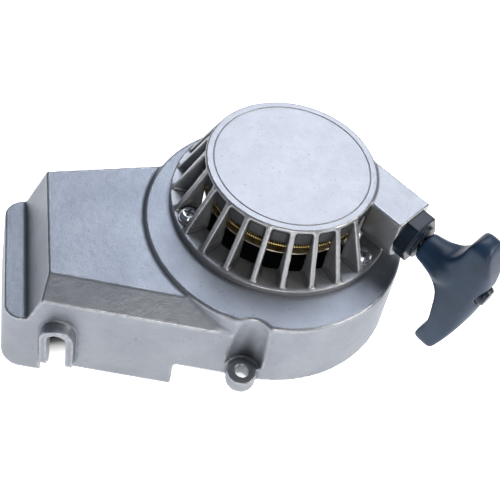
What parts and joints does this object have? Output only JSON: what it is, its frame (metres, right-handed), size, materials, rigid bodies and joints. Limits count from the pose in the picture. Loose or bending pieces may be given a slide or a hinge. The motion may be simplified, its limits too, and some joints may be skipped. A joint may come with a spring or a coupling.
{
  "type": "recoil starter",
  "caption": "Pull-rope recoil starter: a ribbed cast cage with a sprung reel and T-handle, on the cast side cover of a small two-stroke engine.",
  "frame": {"origin": "on the crank axis, in the plane where the cover meets the engine", "axes": "+Z along the crank axis away from the engine, +X from the coil box towards the fan scroll"},
  "size_m": [0.2191, 0.1472, 0.1097],
  "materials": {
    "cast_aluminium": "satin, as cast",
    "cage_aluminium": "satin, as cast",
    "bright_steel": "bright zinc",
    "yellow_zinc": "yellow zinc plate, satin",
    "black_plastic": "moulded, satin",
    "handle_plastic": "moulded, satin",
    "reel_plastic": "moulded, satin",
    "bronze": "plain bearing",
    "spring_steel": "blued, oiled",
    "dark_steel": "hardened",
    "rope": "braided nylon"
  },
  "bodies": {
    "housing": {"side_cover": "cast_aluminium", "starter_housing": "cage_aluminium", "housing_screws": "bright_steel", "housing_washers": "bright_steel", "rope_guide": "black_plastic", "friction_spring": "spring_steel", "friction_washer": "bright_steel", "centre_screw": "bright_steel", "recoil_spring": "spring_steel", "rope_lead": "rope"},
    "reel": {"reel_core": "reel_plastic", "reel_upper_plate": "yellow_zinc", "reel_lower_plate": "yellow_zinc", "reel_rivets": "bright_steel", "reel_bush": "bronze", "rope_winding": "rope", "rope_anchor_knot": "rope", "pawl_pins": "bright_steel"},
    "friction": {"friction_plate": "dark_steel"},
    "pawl_one": {"pawl_a": "dark_steel"},
    "pawl_two": {"pawl_b": "dark_steel"},
    "rope_end": {"rope_end_knot": "rope", "knot_washer": "bright_steel"},
    "handle": {"handle_grip": "handle_plastic", "handle_plug": "black_plastic"}
  },
  "joints": [
    {"name": "handle_pull", "type": "slide", "parent": "housing", "child": "rope_end", "axis": [0.6032, -0.7976, 0], "range_m": [0, 0.8], "stiffness_N_per_m": 20, "springref_m": -0.3, "deforming": ["rope_lead"]},
    {"name": "reel_spin", "type": "hinge", "parent": "housing", "child": "reel", "pos_m": [0, 0, 0], "axis": [0, 0, 1], "range_deg": [-1700, 0], "deforming": ["recoil_spring"]},
    {"name": "guide_turn", "type": "hinge", "parent": "reel", "child": "friction", "pos_m": [0, 0, 0], "axis": [0, 0, 1], "range_deg": [0, 15]},
    {"name": "pawl_a_swing", "type": "hinge", "parent": "reel", "child": "pawl_one", "pos_m": [0.024, 0, 0.049], "axis": [0, 0, 1], "range_deg": [0, 30]},
    {"name": "pawl_b_swing", "type": "hinge", "parent": "reel", "child": "pawl_two", "pos_m": [-0.024, 0, 0.049], "axis": [0, 0, 1], "range_deg": [0, 30]},
    {"name": "handle_swivel", "type": "hinge", "parent": "rope_end", "child": "handle", "pos_m": [0.05787, -0.03773, 0.0582], "axis": [0.6028, -0.7971, -0.0349], "continuous": true}
  ],
  "couplings": [
    {"joint": "reel_spin", "follows": "handle_pull", "rad_per_m": -36.364},
    {"joint": "pawl_a_swing", "follows": "guide_turn", "ratio": 2},
    {"joint": "pawl_b_swing", "follows": "guide_turn", "ratio": 2}
  ]
}
